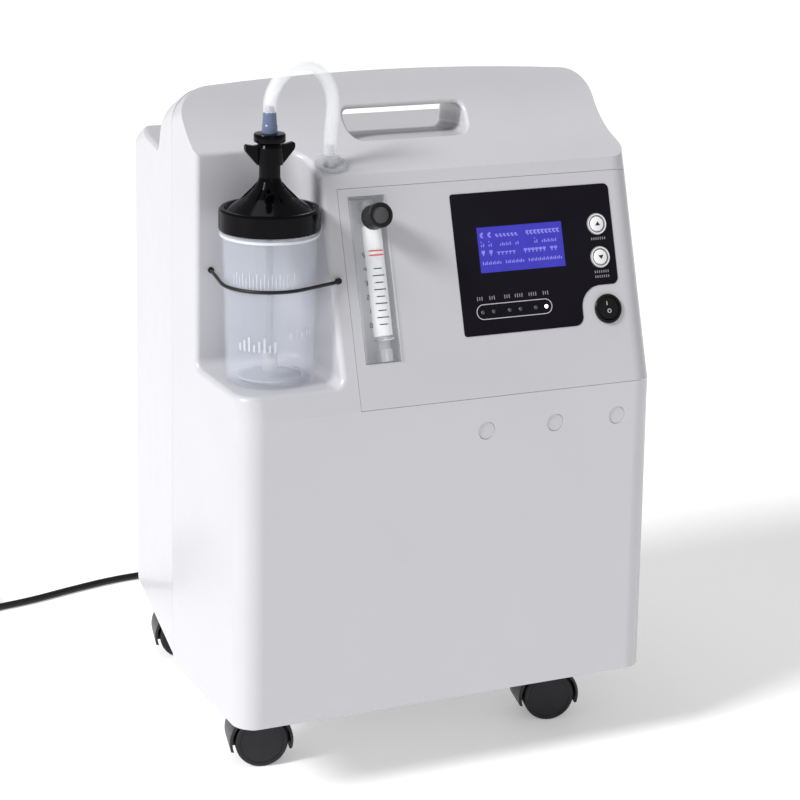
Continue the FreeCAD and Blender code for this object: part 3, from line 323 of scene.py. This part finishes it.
def extrude_outline(bm, points, w0, w1):
    """Closed prism of an (x, v) outline between two heights over the panel."""
    low = [bm.verts.new(on_panel(x, v, w0)) for x, v in points]
    high = [bm.verts.new(on_panel(x, v, w1)) for x, v in points]
    close_solid(bm, low, high)


def ring_outline(bm, outer, inner, w0, w1):
    """Closed band between two outlines with equal point counts."""
    rows = [[bm.verts.new(on_panel(x, v, w)) for x, v in line]
            for line, w in ((outer, w0), (outer, w1), (inner, w1), (inner, w0))]
    join_rows(bm, rows + rows[:1])


def arc_points(cx, cv, radius, start, stop, steps):
    """Points along an arc, from one angle in degrees to another."""
    angles = [math.radians(start + (stop - start) * i / steps) for i in range(steps + 1)]
    return [(cx + radius * math.cos(angle), cv + radius * math.sin(angle)) for angle in angles]


def pill(x0, x1, v, half, steps=12):
    """Outline of a level slot with round ends."""
    return (arc_points(x1 - half, v, half, -90, 90, steps)
            + arc_points(x0 + half, v, half, 90, 270, steps))


def bar(cx, cv, width, height):
    """Outline of a level bar about its middle."""
    x, y = width / 2, height / 2
    return [(cx - x, cv - y), (cx + x, cv - y), (cx + x, cv + y), (cx - x, cv + y)]


def lathe(name, profile, origin, axis, key, body=ROOT, segments=64):
    """Solid of revolution; the (r, h) profile is a closed outline, or starts and ends on the axis."""
    bm = bmesh.new()
    axis = axis.normalized()
    side = axis.orthogonal().normalized()
    other = axis.cross(side)
    closed = profile[0][0] > 0
    rings = []
    for r, h in profile:
        if r == 0:
            rings.append([bm.verts.new(origin + axis * h)])
            continue
        rings.append([bm.verts.new(origin + axis * h
                                   + (side * math.cos(t) + other * math.sin(t)) * r)
                      for t in (2 * math.pi * i / segments for i in range(segments))])
    pairs = list(zip(rings, rings[1:]))
    if closed:
        pairs.append((rings[-1], rings[0]))
    for a, b in pairs:
        for i in range(segments):
            j = (i + 1) % segments
            corners = [a[i % len(a)], a[j % len(a)], b[j % len(b)], b[i % len(b)]]
            unique = list(dict.fromkeys(corners))
            if len(unique) > 2:
                bm.faces.new(unique)
    return new_object(name, mesh_from(bm, name), key, body)


def curve_from(points, name, bevel, resolution=12, ring=10):
    """A round NURBS curve of order 3 with these control points."""
    data = bpy.data.curves.new(name, "CURVE")
    data.dimensions = "3D"
    data.resolution_u = resolution
    spline = data.splines.new("NURBS")
    spline.points.add(len(points) - 1)
    for point, place in zip(spline.points, points):
        point.co = (*place, 1)
    spline.order_u = 3
    spline.use_endpoint_u = True
    data.bevel_depth = bevel
    data.bevel_resolution = ring
    data.use_fill_caps = True
    obj = bpy.data.objects.new(name, data)
    bpy.context.scene.collection.objects.link(obj)
    return obj


# ---------------------------------------------------------------- camera
CAMERA_ANGLES = (-23.879, 17.032, 0.943)       # azimuth, elevation and roll in degrees
CAMERA_PLACE = (-0.7777, -1.8267, 0.9023)
FOCAL_PIXELS, PICTURE_PIXELS = 2267.93, 800
SENSOR = 36.0


def add_camera():
    """The photograph's camera."""
    azimuth, elevation, roll = (math.radians(a) for a in CAMERA_ANGLES)
    back = Vector((math.sin(azimuth) * math.cos(elevation),
                   -math.cos(azimuth) * math.cos(elevation), math.sin(elevation)))
    right = (-back).cross(UP).normalized()
    up = right.cross(-back)
    x_axis = right * math.cos(roll) + up * math.sin(roll)
    y_axis = up * math.cos(roll) - right * math.sin(roll)
    data = bpy.data.cameras.new("camera")
    data.sensor_width = SENSOR
    data.lens = FOCAL_PIXELS / PICTURE_PIXELS * SENSOR
    data.clip_end = 60
    cam = bpy.data.objects.new("camera", data)
    bpy.context.scene.collection.objects.link(cam)
    cam.matrix_world = (Matrix.Translation(CAMERA_PLACE)
                        @ Matrix((x_axis, y_axis, back)).transposed().to_4x4())
    bpy.context.scene.camera = cam


# ---------------------------------------------------------------- mains cord
COIL_OUT = COIL_R + CORD_D / 2                 # the outer column of turns
COIL_IN = COIL_R - CORD_D / 2                  # the inner column
COIL_ZS = (0.0037, 0.0107, 0.0177)             # the three layers


def coil_centre():
    """The cord's last free point meets the outer column, heading along it."""
    x, y = CORD_ROUTE[-1][:2]
    return Vector((x + COIL_OUT * math.sin(COIL_HEADING), y - COIL_OUT * math.cos(COIL_HEADING), 0))


def coil_points():
    """Six turns, two side by side and three high, wound clockwise."""
    centre = coil_centre()
    start, leave = -71.6, -160.0 - COIL_TURNS * 360
    low, middle, high = COIL_ZS
    layers = ((COIL_OUT, low), (COIL_IN, low), (COIL_IN, middle), (COIL_OUT, middle),
              (COIL_IN, high), (COIL_OUT, high))
    step = 30.0                    # degrees between control points
    hull = 0.966                   # the curve lies this share of the way out to its control points
    shift = 0.85                   # the share of a turn after which it moves to the next
    count = int((start - leave) / step)
    points = []
    for i in range(1, count + 1):
        angle = math.radians(start - i * (start - leave) / count)
        turn = min((start - math.degrees(angle)) / 360.0, COIL_TURNS - 0.001)
        k = int(turn)
        r, z = layers[k]
        if k < COIL_TURNS - 1 and turn - k > shift:
            share = (turn - k - shift) / (1 - shift)
            r += (layers[k + 1][0] - r) * share
            z += (layers[k + 1][1] - z) * share
        r /= hull
        points.append((centre.x + r * math.cos(angle), centre.y + r * math.sin(angle), z))
    return points


def add_cord():
    """The mains cord from its grommet through the coil to the plug."""
    centre = coil_centre()
    leave = math.radians(200.0)
    heading = Vector((math.sin(leave), -math.cos(leave), 0))
    start = centre + Vector((COIL_OUT * math.cos(leave), COIL_OUT * math.sin(leave), 0.0178))
    points = list(CORD_ROUTE) + coil_points()
    points += [tuple(start + heading * s) for s in (0.009, TAIL)]
    cord = curve_from(points, "mains_cord", CORD_D / 2)
    paint(cord, "cord")
    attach(cord, ROOT)
    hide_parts("power_cord", "cord_coil")
    tie = add_tie(centre)


def add_tie(centre):
    """Flat tie round all the turns at one place."""
    bm = bmesh.new()
    angle = math.radians(20)
    out = Vector((math.cos(angle), math.sin(angle), 0))
    along = Vector((-out.y, out.x, 0))
    half_r, half_z = CORD_D / 2, 0.0066        # from the coil's middle to its corner turns
    corner_r = 0.0038
    half_width, thick = 0.003, 0.0007
    steps = 4
    outline = []
    for corner, (dr, dz) in enumerate(((1, 1), (-1, 1), (-1, -1), (1, -1))):
        for k in range(steps + 1):
            t = math.radians(90 * corner + 90 * k / steps)
            outline.append((dr * half_r + corner_r * math.cos(t), dz * half_z + corner_r * math.sin(t)))
    rows = []
    for shift, grow in ((-half_width, 0.0), (half_width, 0.0), (half_width, thick), (-half_width, thick)):
        row = []
        for dr, dz in outline:
            size = math.hypot(dr, dz)
            r = COIL_R + dr + grow * dr / size
            z = max(0.0004 - grow * 0.4, COIL_MID_Z + dz + grow * dz / size)
            row.append(bm.verts.new(centre + out * r + along * shift + UP * z))
        rows.append(row)
    join_rows(bm, rows + rows[:1])
    return new_object("cord_tie", mesh_from(bm, "cord_tie"), "strap")


# ---------------------------------------------------------------- outlet hose
def add_hose():
    """The hose from the outlet fitting over to the bottle's spigot."""
    across = OUTLET - BOTTLE
    route = ((1.0, HOSE_Z0), (1.0, 0.565), (1.05, 0.583), (1.02, 0.6005), (0.87, 0.615), (0.645, 0.6227),
             (0.385, 0.6227), (0.17, 0.6155), (0.05, 0.6055), (0.0, 0.597), (0.0, HOSE_Z1))
    points = [tuple(BOTTLE + across * t + UP * z) for t, z in route]
    hose = curve_from(points, "hose", HOSE_R, 16, 8)
    hose.data.use_fill_caps = False
    wall = hose.modifiers.new("wall", "SOLIDIFY")
    wall.thickness = HOSE_WALL
    wall.offset = -1
    paint(hose, "hose")
    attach(hose, ROOT)
    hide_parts("outlet_hose")


# ---------------------------------------------------------------- control panel
def glyph_rows():
    """Rows of small dot blocks on the screen, in place of words and figures."""
    x0, x1, _, v1 = SCREEN
    pattern = ("1.1.222222..333333333", "1.1..333.2....1.3333.", "1.1.22222..333333.33.",
               "33333.22222.333333333")
    heights = {"1": 5, "2": 3, "3": 4}         # in dots
    margin, first, pitch = 0.0035, 0.0082, 0.0076
    dot, across, up = 0.00098, 0.0010, 0.0009
    bm = bmesh.new()
    width = (x1 - x0 - 2 * margin) / len(pattern[0])
    for row, line in enumerate(pattern):
        v = v1 - first - row * pitch - 0.0014
        for i, mark in enumerate(line):
            if mark == ".":
                continue
            x = x0 + margin + width * (i + 0.5)
            for a in range(3):
                for b in range(heights[mark]):
                    if (i * 5 + row * 3 + a * 7 + b * 4 + a * b) % 5 < 2:
                        continue
                    extrude_outline(bm, bar(x + (a - 1) * across, v + b * up, dot, dot), -0.00004, 0.00008)
    obj = new_object("screen_marks", mesh_from(bm, "screen_marks"), "glyph", smooth=None)


def overlay_print():
    """White outline round the lights, and short strokes in place of the captions."""
    bm = bmesh.new()
    x0, x1, v, half, line = 0.0272, 0.0986, 0.0718, 0.0066, 0.0007
    ring_outline(bm, pill(x0, x1, v, half), pill(x0 + line, x1 - line, v, half - line),
                 OVERLAY_FACE, OVERLAY_FACE + 0.00012)
    obj = new_object("light_outline", mesh_from(bm, "light_outline"), "white_ink", smooth=None)
    bm = bmesh.new()
    pitch, top = 0.0021, OVERLAY_FACE + 0.0001
    captions = ((0.0315, 3), (0.043, 3), (0.057, 3), (0.068, 4), (0.081, 4), (0.0935, 3))
    for x, count in captions:
        for i in range(count):
            cx = x + (i - (count - 1) / 2) * pitch
            height = 0.0034 if (i + count) % 2 else 0.0028
            extrude_outline(bm, bar(cx, 0.0832, 0.0008, height), OVERLAY_FACE, top)
    for (x, v), rows in ((BUTTONS["up_button"], 1), (BUTTONS["down_button"], 2)):
        for row in range(rows):
            for i in range(7):
                cx = x + (i - 3) * pitch
                extrude_outline(bm, bar(cx, v - 0.0125 - row * 0.0042, 0.0009, 0.0022),
                                OVERLAY_FACE, top)
    obj = new_object("overlay_print", mesh_from(bm, "overlay_print"), "dim_ink", smooth=None)


def button_faces():
    """Each button's domed face with its arrow, and the ring round it."""
    bodies = {"up_button": "button_up", "down_button": "button_down"}
    for name, (x, v) in BUTTONS.items():
        body = bodies[name]
        centre = on_panel(x, v)
        face = lathe(name + "_face",
                     [(0, 0.0021), (0.0050, 0.0021), (0.0058, 0.0018), (0.0062, 0.0012), (0.0062, 0.0009),
                      (0, 0.0009)], centre, NORMAL, "button", body)
        rim = lathe(name + "_rim",
                    [(0.0070, 0.0004), (0.0094, 0.0004), (0.0093, 0.0009), (0.0088, 0.0012),
                     (0.0075, 0.0012), (0.0070, 0.0009)], centre, NORMAL, "button_ring")
        edge = lathe(name + "_white",
                     [(0.0078, 0.0011), (0.0086, 0.0011), (0.0086, 0.0014), (0.0078, 0.0014)],
                     centre, NORMAL, "button")
        way = 1 if name == "up_button" else -1
        bm = bmesh.new()
        extrude_outline(bm, [(x - 0.0024, v - 0.0014 * way), (x + 0.0024, v - 0.0014 * way),
                             (x, v + 0.0020 * way)][::way], 0.0019, 0.0023)
        arrow = new_object(name + "_arrow", mesh_from(bm, name + "_arrow"), "ink", body, None)


def switch_marks():
    """Line and ring marks on the rocker."""
    x, v = SWITCH
    tilt = Matrix.Rotation(math.radians(-5), 4, "X")
    pivot = on_panel(x, v, -0.001)
    turn = Matrix.Translation(pivot) @ tilt @ Matrix.Translation(-pivot)
    bm = bmesh.new()
    extrude_outline(bm, bar(x - 0.0008, v + 0.0046, 0.0007, 0.0034), 0.0011, 0.0016)
    ring_outline(bm, arc_points(x + 0.0006, v - 0.0022, 0.0019, 0, 345, 23),
                 arc_points(x + 0.0006, v - 0.0022, 0.0012, 0, 345, 23), 0.0011, 0.00155)
    bmesh.ops.transform(bm, matrix=turn, verts=bm.verts)
    obj = new_object("switch_marks", mesh_from(bm, "switch_marks"), "white_ink", "rocker", None)


def light_faces():
    """Domes of the six status lights; the last one is lit."""
    for i, x in enumerate(LED_XS):
        lit = i == len(LED_XS) - 1
        dome = lathe(f"light_{i + 1}",
                     [(0, 0.0012), (0.0008, 0.0011), (0.0014, 0.0008), (0.0017, 0.0004), (0, 0.0004)],
                     on_panel(x, LED_V), NORMAL, "led_on" if lit else "led_off", segments=24)


def flow_meter():
    """Scale, numbers, inner tube and backing of the flow meter."""
    x0, x1 = METER_X
    v0, v1 = METER_V
    bm = bmesh.new()
    plate = bar((x0 + x1) / 2, (v0 + v1) / 2, x1 - x0 - 2 * METER_EDGE, v1 - v0 - 2 * METER_EDGE)
    extrude_outline(bm, plate, -0.0249, -0.0244)
    backing = new_object("meter_backing", mesh_from(bm, "meter_backing"), "backing", smooth=None)
    ink_top = METER_FACE + 0.00015
    bm = bmesh.new()
    for i in range(9):
        width = 0.0072 if i % 2 == 0 else 0.0105
        extrude_outline(bm, bar(SCALE_X, SCALE_V0 + i * SCALE_STEP, width, 0.0009), METER_FACE, ink_top)
    for i in range(6):
        number_strokes(bm, i, NUMBER_X, SCALE_V0 + 2 * i * SCALE_STEP, 0.0034)
    scale = new_object("meter_scale", mesh_from(bm, "meter_scale"), "grey_ink", smooth=None)
    bm = bmesh.new()
    for v in RED_VS:
        extrude_outline(bm, bar(SCALE_X, v, 0.0125, 0.0011), METER_FACE, ink_top)
    red = new_object("meter_red_lines", mesh_from(bm, "meter_red_lines"), "red_ink", smooth=None)
    tube = lathe("meter_tube",
                 [(0.0052, 0.0), (0.0080, 0.0), (0.0080, 0.092), (0.0052, 0.092)],
                 on_panel(BORE[0], 0.0605, BORE[1]), UPHILL, "tube")
    collar = lathe("meter_collar",
                   [(0.0052, 0.0), (0.0090, 0.0), (0.0093, 0.0004), (0.0093, 0.0020), (0.0086, 0.0026),
                    (0.0052, 0.0026)],
                   on_panel(BORE[0], 0.0566, BORE[1]), UPHILL, "chrome")


SEGMENTS = {0: "abcdef", 1: "bc", 2: "abged", 3: "abgcd", 4: "fgbc", 5: "afgcd"}


def number_strokes(bm, digit, x, v, height):
    """Seven-stroke figure for the flow scale."""
    half, width, line = height / 2, height * 0.55, height * 0.16
    places = {"a": (0, half, width, line), "g": (0, 0, width, line), "d": (0, -half, width, line),
              "f": (-width / 2, half / 2, line, half), "b": (width / 2, half / 2, line, half),
              "e": (-width / 2, -half / 2, line, half), "c": (width / 2, -half / 2, line, half)}
    for k, name in enumerate(SEGMENTS[digit]):
        dx, dv, w, h = places[name]
        extrude_outline(bm, bar(x + dx, v + dv, w, h), METER_FACE, METER_FACE + 0.00015 + 0.00001 * k)


def knob_face():
    """Grey disc on the flow knob's end."""
    disc = lathe("knob_disc",
                 [(0, 0.0262), (0.0066, 0.0262), (0.0072, 0.0259), (0.0074, 0.0255), (0, 0.0255)],
                 on_panel(*KNOB), NORMAL, "knob_disc", "valve_spindle")


# ---------------------------------------------------------------- bottle
def jar_radius(z):
    """Outer radius of the tapered jar at a height."""
    return JAR_R0 + (z - JAR_Z0) * (JAR_R1 - JAR_R0) / (JAR_Z1 - JAR_Z0)


def round_bottle(bm, r, angle, z):
    """A corner at this radius, angle and height about the bottle's axis."""
    return bm.verts.new((BOTTLE.x + r * math.cos(angle), BOTTLE.y + r * math.sin(angle), z))


def jar_strip(bm, angle, width, z0, z1, proud):
    """Thin closed strip that follows the jar's wall."""
    sunk = 0.0003
    rows = []
    for z in (z0, z1):
        r = jar_radius(z)
        half = width / 2 / r
        rows.append([round_bottle(bm, radius, angle + turn, z)
                     for turn, radius in ((-half, r - sunk), (half, r - sunk),
                                          (half, r + proud), (-half, r + proud))])
    close_solid(bm, *rows)


def jar_details():
    """Moulded ribs, fill marks, rim and foot ring of the jar."""
    bm = bmesh.new()
    for k in range(18):
        angle = math.radians(-158 + k * 4.6)
        jar_strip(bm, angle, 0.0008, 0.446, 0.460 + 0.004 * (k % 2), 0.0004)
    for k in range(8):
        angle = math.radians(-150 + 6.6 * k)
        jar_strip(bm, angle, 0.0018, 0.3985, 0.4045 + 0.0030 * (k % 3), 0.00035)
    for k in range(5):
        angle = math.radians(-84 + 8.5 * k)
        jar_strip(bm, angle, 0.0012, 0.409, 0.4135 + 0.0022 * (k % 2), 0.00035)
    ribs = new_object("jar_ribs", mesh_from(bm, "jar_ribs"), "rib", smooth=None)
    rim = lathe("jar_rim",
                [(0.0386, 0.4880), (0.0405, 0.4880), (0.0410, 0.4886), (0.0410, 0.4899), (0.0405, 0.4905),
                 (0.0386, 0.4905)], BOTTLE, UP, "rim")
    foot = lathe("jar_foot_ring",
                 [(0.0262, 0.3701), (0.0282, 0.3701), (0.0280, 0.3712), (0.0264, 0.3712)],
                 BOTTLE, UP, "rib")


def lid_details():
    """Gussets on the lid's cone and grip ribs round its skirt."""
    gusset = ((0.0085, 0.5335), (0.0112, 0.5310), (0.0145, 0.5272), (0.0205, 0.5214),
              (0.0240, 0.5176), (0.0240, 0.5150), (0.0205, 0.5185), (0.0085, 0.5285))
    half_thick = 0.0008
    nipple_angle = math.radians(-112.4)
    gusset_count, grip_count = 6, 90
    bm = bmesh.new()
    for k in range(gusset_count):
        angle = 2 * math.pi * (k + 0.5) / gusset_count + nipple_angle
        out = Vector((math.cos(angle), math.sin(angle), 0))
        side = Vector((-out.y, out.x, 0)) * half_thick
        close_solid(bm, *([bm.verts.new(BOTTLE + out * r + UP * z + side * way) for r, z in gusset]
                          for way in (-1, 1)))
    gussets = new_object("lid_gussets", mesh_from(bm, "lid_gussets"), "lid", smooth=30)
    proud = 0.00043
    half = 0.0007
    bm = bmesh.new()
    for k in range(grip_count):
        angle = 2 * math.pi * k / grip_count
        section = ((-half, SKIRT_R), (half, SKIRT_R), (half * 0.5, SKIRT_R + proud),
                   (-half * 0.5, SKIRT_R + proud))
        close_solid(bm, *([round_bottle(bm, r, angle + side / r, z) for side, r in section]
                          for z in (0.4945, 0.5085)))
    grips = new_object("lid_grips", mesh_from(bm, "lid_grips"), "lid", smooth=30)


def collar_piece():
    """Black collar at the foot of the barbed spigot."""
    collar = lathe("spigot_collar",
                   [(0.0070, 0.5648), (0.0126, 0.5648), (0.0130, 0.5655), (0.0130, 0.5705),
                    (0.0124, 0.5716), (0.0070, 0.5719)],
                   BOTTLE, UP, "lid")


# ---------------------------------------------------------------- CAD nodes that stay
def node_key(node):
    """The material of a CAD node, or None for one that a cord replaces."""
    prefixes = {"caster_wheels": "tread", "caster_hood": "black", "caster_axle": "steel"}
    keys = {
        "front_cover": "cabinet", "rear_cover": "cabinet", "control_panel": "panel", "base_tray": "tray",
        "screw_caps": "caps", "exhaust_grille": "grey", "filter_door": "grey", "cover_screws": "steel",
        "panel_overlay": "film", "display_screen": "screen", "status_lights": "led_off",
        "up_button": "button", "down_button": "button", "switch_bezel": "gloss_black",
        "power_rocker": "gloss_black", "meter_body": "block", "meter_fittings": "chrome",
        "meter_float": "float", "valve_stem": "steel", "flow_knob": "knob", "bottle_jar": "jar",
        "bottle_lid": "lid", "wing_connector": "lid", "inlet_spigot": "spigot", "dip_tube": "dip",
        "diffuser": "diffuser", "bottle_strap": "strap", "strap_anchors": "strap",
        "outlet_fitting": "flange", "caster_plates": "steel", "intake_filter": "foam",
        "compressor": "alloy", "compressor_springs": "steel", "sieve_tanks": "tank",
        "valve_block": "alloy", "surge_tank": "tank", "heat_exchanger": "alloy", "fan_frame": "black",
        "fan_rotor": "grey", "control_board": "board", "run_capacitor": "tank",
        "intake_muffler": "black", "cord_grommet": "cord", "power_plug": "cord", "plug_pins": "steel",
    }
    for prefix, key in prefixes.items():
        if node.startswith(prefix):
            return key
    return keys.get(node)


def finish_nodes():
    """Paint the CAD nodes that stay."""
    for node, obj in NODES.items():
        key = node_key(node)
        if key:
            paint(obj, key)


# ---------------------------------------------------------------- studio
def add_floor():
    """A white floor, part of the studio."""
    bm = bmesh.new()
    bmesh.ops.create_grid(bm, x_segments=2, y_segments=2, size=9.0)
    mesh = bpy.data.meshes.new("floor")
    bm.to_mesh(mesh)
    bm.free()
    mat, nodes, links, shader = material("studio_floor")
    cloud = noise(nodes, links, 0.6)
    links.new(ramp(nodes, links, cloud, 0.3, 0.7, (0.93, 0.93, 0.935), (0.95, 0.95, 0.95)),
              shader.inputs["Base Color"])
    shader.inputs["Roughness"].default_value = 0.55
    shader.inputs["Emission Color"].default_value = (1, 1, 1, 1)
    shader.inputs["Emission Strength"].default_value = 0.3
    floor = bpy.data.objects.new("floor", mesh)
    floor.data.materials.append(mat)
    bpy.context.scene.collection.objects.link(floor)


def area_light(name, place, target, size, energy):
    """A square area light aimed at a target."""
    data = bpy.data.lights.new(name, "AREA")
    data.size = size
    data.energy = energy
    obj = bpy.data.objects.new(name, data)
    bpy.context.scene.collection.objects.link(obj)
    direction = Vector(target) - Vector(place)
    obj.rotation_euler = direction.to_track_quat("-Z", "Y").to_euler()
    obj.location = place


def add_lights():
    """White surroundings, a soft sun from the left and two weak fills."""
    world = bpy.data.worlds.new("studio")
    world.use_nodes = True
    background = world.node_tree.nodes["Background"]
    background.inputs["Color"].default_value = (1, 1, 1, 1)
    background.inputs["Strength"].default_value = 0.36
    bpy.context.scene.world = world
    sun = bpy.data.lights.new("key", "SUN")
    sun.energy = 2.9
    sun.angle = math.radians(16)
    key = bpy.data.objects.new("key", sun)
    key.rotation_euler = Vector((0.78, 0.17, -0.60)).to_track_quat("-Z", "Y").to_euler()
    bpy.context.scene.collection.objects.link(key)
    area_light("fill", (-0.3, -2.8, 1.1), (0, 0, 0.3), 1.2, 3.0)
    area_light("top", (-0.3, 0.3, 2.4), (0, 0, 0.4), 1.0, 6.0)
    bpy.context.scene.view_settings.view_transform = "Standard"


add_camera()
add_cord()
add_hose()
finish_nodes()
glyph_rows()
overlay_print()
button_faces()
switch_marks()
light_faces()
flow_meter()
knob_face()
jar_details()
lid_details()
collar_piece()
add_floor()
add_lights()
